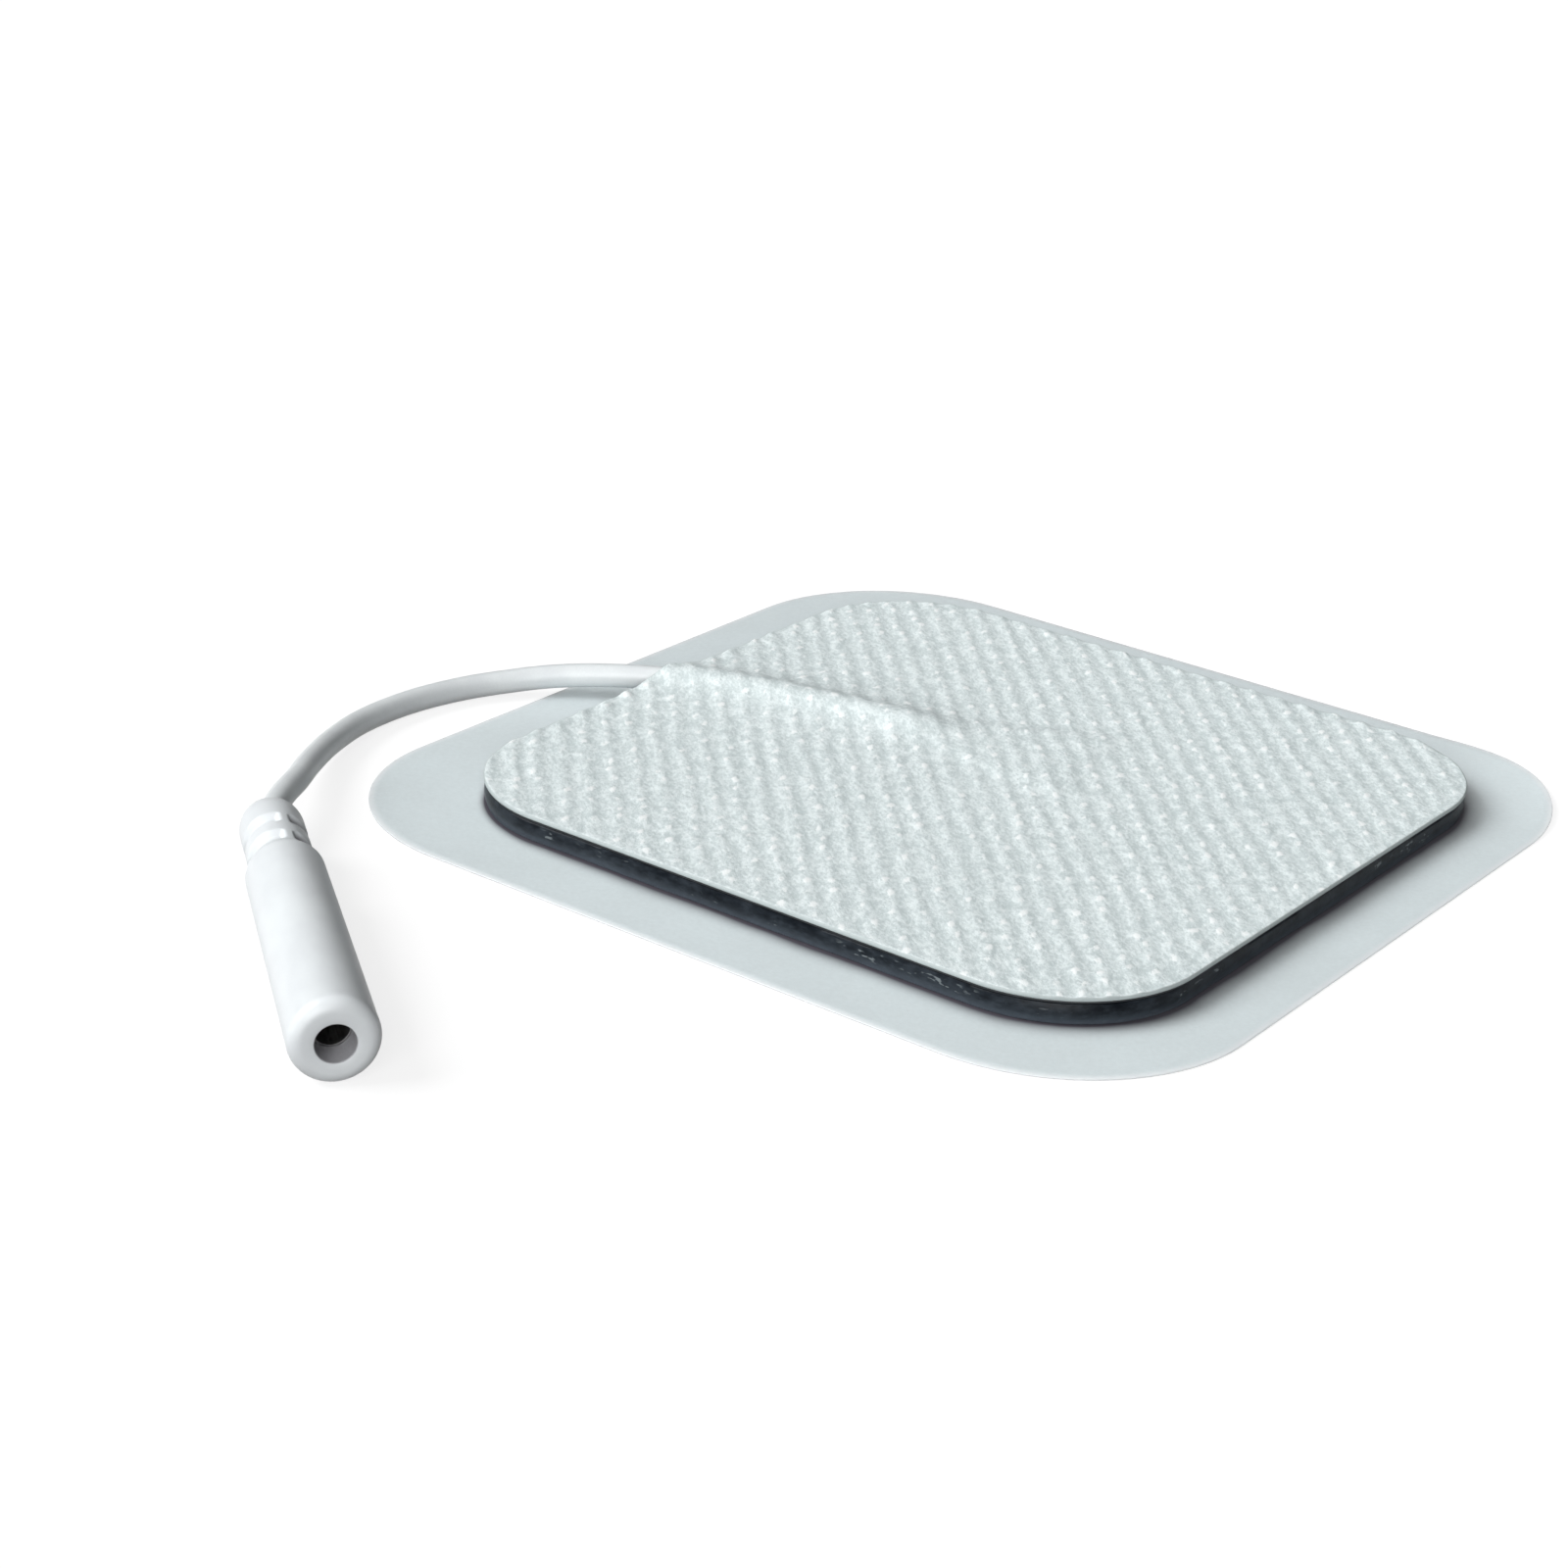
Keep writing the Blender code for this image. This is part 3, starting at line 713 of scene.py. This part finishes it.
paintNode(
    "socket_contact",
    metalMaterial("platedContact", metalLook["nickel"], metalLook["nickelDeep"], socket["turn"], 0.34),
)
paintNode("lead_conductor", metalMaterial("tinnedCopper", metalLook["tin"], metalLook["tinDeep"], 0.2, 0.32))


# Release liner
linerSide = laminate["side"] + 2 * laminate["linerMargin"]
linerLook = {
    "lift": 0.5 * mm,
    "liftFrom": 33.6 * mm,
    "liftTo": 38.4 * mm,
    "colour": (0.77, 0.86, 0.88),
    "edge": (0.93, 0.97, 0.99),
    "edgeWidth": 0.55,  # millimetres
    "alpha": 0.62,
    "roughness": 0.3,
    # painted shadow and painted reflection of the pad's dark wall on the liner, widest on the right
    "paintedShadowReflection": (0.085, 0.077, 0.095),
    "paintedShadowReflectionWidths": (0.6, 1.5, 1.9),  # left, front and right, in millimetres
}


def beyondOutline(x, y, side, corner, shift):
    middle = (side / 2 - corner) / mm
    overX = (x - shift / mm).size() - middle
    overY = y.size() - middle
    reach = (overX.most(0.0) ** 2 + overY.most(0.0) ** 2) ** 0.5
    return reach + overX.most(overY).least(0.0) - corner / mm


def linerMaterial():
    material, tree = newMaterial("releaseLiner")
    place = tree.place()
    frost = place.noise(3.5, 4, 0.6)
    cloud = place.noise(0.12, 3, 0.5)
    scuff = place.noise(1.1, 3, 0.6, (0.15, 1.6, 1.0), 0.7)
    tint = (frost * 0.4 + cloud * 0.6).ramp(0.3, 0.75)
    x, y = place.split()[:2]
    # painted shadow and reflection of the pad's wall: darker and less clear near the pad's outline
    apart = beyondOutline(x, y, laminate["side"], laminate["corner"], laminate["shift"])
    apart = apart + (cloud - 0.5) * 0.5
    left, front, right = linerLook["paintedShadowReflectionWidths"]
    width = left + x.ramp(-24.0, -6.0, 0.0, front - left) + x.ramp(12.0, 25.0, 0.0, right - front)
    paintedShadowReflection = (1.0 - (apart / width).most(0.0)).most(0.0) ** 2.4
    sheet = tint.blend(grey(linerLook["colour"], 0.96), grey(linerLook["colour"], 1.04))
    outside = beyondOutline(x, y, linerSide, laminate["linerCorner"], 0.0)
    whitened = outside.ramp(-linerLook["edgeWidth"], 0.0)
    sheet = whitened.blend(sheet, grey(linerLook["edge"]))
    clear = linerLook["alpha"] + 0.06 * (cloud - 0.5) + 0.05 * (frost - 0.5)
    shader = principled(
        tree,
        {
            "Base Color": paintedShadowReflection.blend(sheet, grey(linerLook["paintedShadowReflection"])),
            "Roughness": linerLook["roughness"] + 0.03 * (scuff - 0.5) + 0.05 * (frost - 0.5),
            "Alpha": clear + paintedShadowReflection * 0.3,
            "Normal": tree.bump(frost, 0.003 * mm),
        },
    )
    finishMaterial(tree, shader)
    return material


def flatHeight(height):
    return lambda x, y: np.full(x.shape, height)


linerRim = [(0.05 * mm, 0.0), (0.01 * mm, 0.2), (0.0, 0.5), (0.01 * mm, 0.8), (0.05 * mm, 1.0)]
linerPlan = (linerSide, laminate["linerCorner"], 0.0)


def linerHeight(height):
    def lifted(x, y):
        share = np.clip((x + y) / math.sqrt(2) - linerLook["liftFrom"], 0, None)
        share = share / (linerLook["liftTo"] - linerLook["liftFrom"])
        return height + linerLook["lift"] * share**2

    return lifted


linerMesh = makeSlab(
    "linerSheet", linerPlan, linerHeight(laminate["linerTop"]), linerHeight(0.0), linerRim, 96, 2
)
addPiece("linerSheet", linerMesh, linerMaterial(), "release_liner")


# Gel and carbon film
gelLook = {
    "colour": (0.004, 0.006, 0.009),
    # partly random tone, partly painted light: the wall's foot is tinted towards this to make up for the
    # shade under its bulge
    "rim": (0.075, 0.092, 0.112),
    # painted glints, in clusters along the middle of the wall
    "paintedGlint": (0.14, 0.16, 0.17),
    "roughness": 0.36,
    "bulge": 0.16 * mm,
    "inset": 0.2 * mm,
    "rimInset": 0.34 * mm,
    "waves": ((7, 0.6, 1.0), (17, 2.1, 0.7), (41, 0.0, 0.5)),  # count, phase, size
    "waveSize": 0.018 * mm,
}


def gelMaterial():
    material, tree = newMaterial("hydrogel")
    place = tree.place()
    height = place.split()[2]
    cloud = place.noise(0.5, 4, 0.6)
    streak = place.noise(1.4, 3, 0.6, (1.0, 1.0, 2.6))
    paintedGlint = place.noise(1.5, 2, 0.5, (1.0, 1.0, 3.0))
    cluster = place.noise(0.24, 2, 0.5).ramp(0.52, 0.60)
    # painted light: lighter and bluer towards the foot of the wall, where the bulge leaves it in shade
    low = height.ramp(0.12, 1.2, 1.0, 0.0)
    tint = ((cloud * 0.5 + streak * 0.5).ramp(0.35, 0.7) * 0.3 + low * low * 0.9).least(1.0)
    base = tint.blend(grey(gelLook["colour"]), grey(gelLook["rim"]))
    middle = height.ramp(0.5, 0.75) * height.ramp(1.1, 1.3, 1.0, 0.0)
    # painted glints: bright points in clusters along the middle of the wall
    bright = paintedGlint.ramp(0.59, 0.68) * cluster * middle
    shader = principled(
        tree,
        {
            "Base Color": bright.blend(base, grey(gelLook["paintedGlint"])),
            "Roughness": gelLook["roughness"] + 0.3 * (streak - 0.5) + 0.1 * (cloud - 0.5),
            "Specular IOR Level": 0.13,
            "Normal": tree.bump(cloud * 0.6 + streak * 0.4, 0.05 * mm),
        },
    )
    finishMaterial(tree, shader)
    return material


def gelInset(share):  # the gel's wall swells out a little, and not evenly
    swell = gelLook["bulge"] * math.sin(math.pi * share)

    def inset(angle):
        wander = sum(size * np.sin(angle * count + phase) for count, phase, size in gelLook["waves"])
        return gelLook["inset"] - swell - wander * gelLook["waveSize"]

    return inset


def gelTop(x, y):
    return laminate["gelTop"] - sagDepth(x, y)


gelPlan = (laminate["side"], laminate["corner"], laminate["shift"])
gelRim = [(gelLook["rimInset"], 0.0)]
gelRim += [(gelInset(share), share) for share in (0.04, 0.14, 0.3, 0.45, 0.6, 0.75, 0.88, 0.97)]
gelRim += [(gelLook["rimInset"], 1.0)]
gelMesh = makeSlab(
    "gelLayer", gelPlan, gelTop, flatHeight(laminate["gelBottom"]), gelRim, 160, 2
)
addPiece("gelLayer", gelMesh, gelMaterial(), "hydrogel")


filmLook = {"colour": (0.012, 0.013, 0.015), "deep": (0.03, 0.032, 0.036), "roughness": 0.55}


def filmMaterial():
    material, tree = newMaterial("carbonFilm")
    place = tree.place()
    grain = place.noise(11.0, 3, 0.6)
    cloud = place.noise(0.6, 3, 0.5)
    tint = (grain * 0.6 + cloud * 0.4).ramp(0.3, 0.75)
    shader = principled(
        tree,
        {
            "Base Color": tint.blend(grey(filmLook["colour"]), grey(filmLook["deep"])),
            "Roughness": filmLook["roughness"] + 0.2 * (grain - 0.5),
            "Normal": tree.bump(grain, 0.01 * mm),
        },
    )
    finishMaterial(tree, shader)
    return material


def filmHeight(height):
    return lambda x, y: height - sagDepth(x, y)


filmRim = [(0.13 * mm, 0.0), (0.1 * mm, 0.2), (0.1 * mm, 0.8), (0.13 * mm, 1.0)]
filmMesh = makeSlab(
    "filmLayer",
    gelPlan,
    filmHeight(laminate["filmTop"]),
    filmHeight(laminate["filmBottom"]),
    filmRim,
    200,
    2,
)
film = addPiece("filmLayer", filmMesh, filmMaterial(), "carbon_film")
print("liner, gel and film are made")


# Backing cloth
clothLook = {
    "colour": (0.80, 0.87, 0.875),
    # the dark end of the random tone, and painted shade in the grooves between the rows
    "mottleAndGrooveShade": (0.56, 0.635, 0.64),
    # painted highlight on the pillow tops
    "tip": (0.92, 0.96, 0.96),
    "roughness": 0.85,
    "cut": (0.42, 0.47, 0.47),
    "fibre": 0.07 * mm,
}
emboss = {
    "acrossX": 0.48,  # cycles per millimetre
    "acrossY": 0.44,
    "alongX": 0.46,
    "alongY": -0.47,
    "depth": 0.098 * mm,
    "slant": 0.6,
    "dots": 0.34,
    "roundness": 0.62,
    "seed": 5.0,
    "flatEdge": (0.1 * mm, 0.9 * mm),
    "ringShares": (0.9, 0.75, 0.35, 0.05),
}


def pillows(tree, place, given):
    around = {"noise_dimensions": "4D"}
    spread = {"Vector": place, "W": given["seed"], "Scale": 0.16, "Detail": 1.0}
    wander = tree.node("ShaderNodeTexNoise", around, spread)
    spread = {"Vector": place, "W": given["seed"], "Scale": 0.7, "Detail": 2.0}
    uneven = tree.node("ShaderNodeTexNoise", around, spread)
    x, y = place.split()[:2]
    across = x * given["acrossX"] + y * given["acrossY"] + (wander - 0.5) * 0.4 + (uneven - 0.5) * 0.35
    along = x * given["alongX"] + y * given["alongY"] + (uneven - 0.5) * 0.3
    line = across.whole()
    inLine = across - line
    along = along + inLine * given["slant"]
    cell = along.whole()
    chance = tree.node(
        "ShaderNodeTexWhiteNoise",
        {"noise_dimensions": "3D"},
        {"Vector": tree.node("ShaderNodeCombineXYZ", sockets={0: line, 1: cell, 2: given["seed"]})},
        output=1,
    )
    first, second, third = chance.split()
    aside = inLine + (first - 0.5) * 0.3
    ahead = along - cell + (second - 0.5) * 0.35
    ahead = ahead * given["roundness"]
    dot = (aside**2 + ahead**2) ** 0.5
    dot = dot.ramp(0.02, 0.30, 1.0, 0.0) * (0.3 + third)
    row = (0.5 + 0.5 * across.wave()) * (uneven * 2.2 - 0.25).most(0.15).least(1.2)
    return row, dot


def clothMaterial():
    material, tree = newMaterial("clothBacking")
    place = tree.place()
    flat = tree.node(
        "ShaderNodeVectorMath", {"operation": "MULTIPLY"}, {0: place, 1: (1.0, 1.0, 0.0)}
    )
    row, dot = pillows(tree, flat, emboss)
    grainWay = math.atan2(-emboss["acrossX"], emboss["acrossY"])
    fibres = place.noise(2.9, 5, 0.7, (0.55, 1.5, 1.0), grainWay + 0.3)
    crossed = place.noise(3.1, 5, 0.7, (0.6, 1.4, 1.0), grainWay - 0.35)
    grain = place.noise(4.4, 3, 0.7, (0.6, 1.1, 1.0), grainWay)
    cloud = place.noise(0.35, 4, 0.6)
    web = (fibres + crossed) * 0.5
    blotch = place.noise(1.6, 3, 0.65, (0.6, 1.1, 1.0), grainWay)
    # row * 0.15 paints shade into the grooves between the rows; the noise terms are random tone
    tint = 0.42 + row * 0.15 + (web - 0.5) * 1.6 + (grain - 0.5) * 2.0
    tint = tint + (blotch - 0.5) * 1.8 + (cloud - 0.5) * 0.4
    # shine paints highlights on the pillow tops through dot, mixed with random tone from the noises
    shine = dot * 0.85 + (web - 0.5) * 0.9 + (grain - 0.5) * 1.1 + (blotch - 0.5) * 0.8
    cutEdge = tree.node("ShaderNodeAttribute", {"attribute_name": "cutEdge"}, output="Fac")
    sheet = tint.ramp(0.0, 1.0).blend(grey(clothLook["mottleAndGrooveShade"]), grey(clothLook["colour"]))
    tipped = shine.ramp(0.3, 0.95).blend(sheet, grey(clothLook["tip"]))
    shader = principled(
        tree,
        {
            "Base Color": cutEdge.blend(tipped, grey(clothLook["cut"])),
            "Roughness": clothLook["roughness"] - 0.15 * dot + 0.3 * (web - 0.5),
            "Normal": tree.bump(web * 0.5 + grain * 0.35 + blotch * 0.5, clothLook["fibre"]),
        },
    )
    finishMaterial(tree, shader)
    return material


def embossTree():
    group = bpy.data.node_groups.new("embossCloth", "GeometryNodeTree")
    face = group.interface
    face.new_socket("Geometry", in_out="INPUT", socket_type="NodeSocketGeometry")
    names = ("acrossX", "acrossY", "alongX", "alongY", "depth", "slant", "dots", "roundness", "seed")
    for name in names:
        face.new_socket(name, in_out="INPUT", socket_type="NodeSocketFloat")
    face.new_socket("material", in_out="INPUT", socket_type="NodeSocketMaterial")
    face.new_socket("Geometry", in_out="OUTPUT", socket_type="NodeSocketGeometry")
    tree = Wire(group)
    entry = group.nodes.new("NodeGroupInput")
    given = {name: Wire(group, entry.outputs[name]) for name in names}
    spot = tree.node("GeometryNodeInputPosition")
    flat = tree.node(
        "ShaderNodeVectorMath", {"operation": "MULTIPLY"}, {0: spot, 1: (1000.0, 1000.0, 0.0)}
    )
    row, dot = pillows(tree, flat, given)
    height = row * (1.0 - given["dots"]) + dot * given["dots"]
    press = tree.node("GeometryNodeInputNamedAttribute", {"data_type": "FLOAT"}, {"Name": "press"})
    rise = tree.node(
        "ShaderNodeCombineXYZ", sockets={2: (height - 0.4) * given["depth"] * press}
    )
    blank = Wire(group, entry.outputs["Geometry"])
    moved = tree.node("GeometryNodeSetPosition", sockets={"Geometry": blank, "Offset": rise})
    real = tree.node("GeometryNodeRealizeInstances", sockets={0: moved})
    paint = Wire(group, entry.outputs["material"])
    painted = tree.node("GeometryNodeSetMaterial", sockets={"Geometry": real, "Material": paint})
    leave = group.nodes.new("NodeGroupOutput")
    group.links.new(painted.socket, leave.inputs[0])
    return group


def pressCloth(mesh, material):
    group = embossTree()
    blank = bpy.data.objects.new("clothBlank", mesh)
    bpy.context.scene.collection.objects.link(blank)
    modifier = blank.modifiers.new("emboss", "NODES")
    modifier.node_group = group
    chosen = {**emboss, "material": material}
    for item in group.interface.items_tree:
        if item.item_type == "SOCKET" and item.in_out == "INPUT" and item.name in chosen:
            modifier[item.identifier] = chosen[item.name]
    bpy.context.view_layer.update()
    graph = bpy.context.evaluated_depsgraph_get()
    pressed = bpy.data.meshes.new_from_object(blank.evaluated_get(graph))
    pressed.name = "clothSheet"
    blank.modifiers.remove(modifier)
    bpy.data.objects.remove(blank, do_unlink=True)
    return pressed


def clothTopHeight(x, y):
    rise = ridgeHeight(x, y, ridge["overLift"], ridge["fanOver"], ridge["fanSoftEdge"])
    return laminate["clothTop"] + rise


def clothBottomHeight(x, y):
    rise = ridgeHeight(x, y, ridge["underLift"], ridge["fanUnder"], ridge["fanEdge"])
    return laminate["clothBottom"] + rise


clothGrid = 264
clothTops = (clothGrid + 1) ** 2  # vertices of the cloth's upper face
clothRim = [(0.1 * mm, 0.0), (0.03 * mm, 0.1), (0.0, 0.3), (0.0, 0.65), (0.01 * mm, 0.93), (0.04 * mm, 1.0)]
clothBlank = makeSlab(
    "clothBlank", gelPlan, clothTopHeight, clothBottomHeight, clothRim, clothGrid, 2
)


def pressShares():
    count = len(clothBlank.vertices)
    places = np.empty(count * 3)
    clothBlank.vertices.foreach_get("co", places)
    x, y = places.reshape(-1, 3)[:, :2].T
    toRight = laminate["shift"] + laminate["side"] / 2 - x
    toFront = laminate["side"] / 2 + y
    shares = smoothStep(*emboss["flatEdge"], np.minimum(toRight, toFront))
    shares *= 1 - 0.5 * smoothStep(0.5, 0.95, ridgeShape(x, y))
    toLeft = x - laminate["shift"] + laminate["side"] / 2
    toBack = laminate["side"] / 2 - y
    shares *= 1.8 - 0.8 * smoothStep(0.4 * mm, 2.0 * mm, np.minimum(toLeft, toBack))
    ringSize = 4 * clothGrid
    for number, share in enumerate(emboss["ringShares"]):
        start = clothTops + number * ringSize
        shares[start : start + ringSize] *= share
    shares[clothTops + len(emboss["ringShares"]) * ringSize :] = 0
    return shares.astype(np.float32)


press = clothBlank.attributes.new("press", "FLOAT", "POINT")
press.data.foreach_set("value", pressShares())
cutEdge = clothBlank.attributes.new("cutEdge", "FLOAT", "POINT")
cutShares = np.zeros(len(clothBlank.vertices), dtype=np.float32)
cutShares[clothTops : clothTops + 4 * 4 * clothGrid] = 1
cutEdge.data.foreach_set("value", cutShares)
clothPaint = clothMaterial()
clothMesh = pressCloth(clothBlank, clothPaint)
cloth = addPiece("clothSheet", clothMesh, clothPaint, "backing_cloth", 70)
print("cloth is made")


# Floor, light and world
light = {
    "key": {"side": (-0.78, -0.62), "height": 41.0, "softness": 34.0, "strength": 2.62},
    "front": {"side": (0.50, -0.87), "height": 24.0, "softness": 45.0, "strength": 2.3},
    "sky": 0.20,
    "skyDark": 0.01,
    "skyColour": (0.97, 0.99, 1.0),
    "floorSeen": 0.26,
    "floorUnseen": 0.06,
    "floorGlow": 0.80,
    "floorHalf": 3.0,
    "floorDrop": 0.02 * mm,
}


def floorMaterial():
    material, tree = newMaterial("floor")
    rays = tree.node("ShaderNodeLightPath", output="Is Camera Ray")
    glossy = tree.node("ShaderNodeLightPath", output="Is Glossy Ray")
    through = tree.node("ShaderNodeLightPath", output="Is Transmission Ray")
    seen = (rays + glossy + through).least(1.0)
    grain = tree.place().noise(0.02, 2, 0.5)
    plain = (1.0, 1.0, 1.0)
    tone = grain.blend(grey(plain, light["floorSeen"]), grey(plain, light["floorSeen"] * 1.01))
    white = tree.node("ShaderNodeBsdfDiffuse", sockets={"Color": tone})
    lit = {"Color": grey(plain), "Strength": light["floorGlow"]}
    glow = tree.node("ShaderNodeEmission", sockets=lit)
    bright = tree.node("ShaderNodeAddShader", sockets={0: white, 1: glow})
    dim = tree.node("ShaderNodeBsdfDiffuse", sockets={"Color": grey(plain, light["floorUnseen"])})
    finishMaterial(tree, tree.node("ShaderNodeMixShader", sockets={0: seen, 1: dim, 2: bright}))
    return material


def addFloor():
    half, drop = light["floorHalf"], light["floorDrop"]
    corners = [(-half, -half), (half, -half), (half, half), (-half, half)]
    mesh = bpy.data.meshes.new("floor")
    mesh.from_pydata([(x, y, -drop) for x, y in corners], [], [(0, 1, 2, 3)])
    mesh.materials.append(floorMaterial())
    floor = bpy.data.objects.new("floor", mesh)
    bpy.context.scene.collection.objects.link(floor)


def addLight(name):
    look = light[name]
    lamp = bpy.data.objects.new(name, bpy.data.lights.new(name, "SUN"))
    lamp.data.energy = look["strength"]
    lamp.data.angle = math.radians(look["softness"])
    height = math.radians(look["height"])
    level = Vector((*look["side"], 0)).normalized()
    aim = level * math.cos(height) + Vector((0, 0, math.sin(height)))
    lamp.rotation_mode = "QUATERNION"
    lamp.rotation_quaternion = aim.to_track_quat("Z", "Y")
    bpy.context.scene.collection.objects.link(lamp)


def addWorld():
    world = bpy.data.worlds.new("studio")
    bpy.context.scene.world = world
    world.use_nodes = True
    world.node_tree.nodes.clear()
    tree = Wire(world.node_tree)
    direct = tree.node("ShaderNodeLightPath", output="Is Camera Ray")
    through = tree.node("ShaderNodeLightPath", output="Is Transmission Ray")
    seen = (direct + through).least(1.0)
    x, y, z = tree.node("ShaderNodeTexCoord", output="Generated").split()
    side = x * light["key"]["side"][0] + y * light["key"]["side"][1] + z * 0.35
    strength = side.ramp(-0.7, 0.9, light["skyDark"], light["sky"])
    plain = tree.node("ShaderNodeBackground", sockets={"Color": grey((1.0, 1.0, 1.0)), "Strength": 1.0})
    lit = {"Color": grey(light["skyColour"]), "Strength": strength}
    dome = tree.node("ShaderNodeBackground", sockets=lit)
    mixed = tree.node("ShaderNodeMixShader", sockets={0: seen, 1: dome, 2: plain})
    tree.node("ShaderNodeOutputWorld", sockets={"Surface": mixed})


addFloor()
addLight("key")
addLight("front")
addWorld()
bpy.context.scene.view_settings.view_transform = "Standard"
print("floor and light are set")
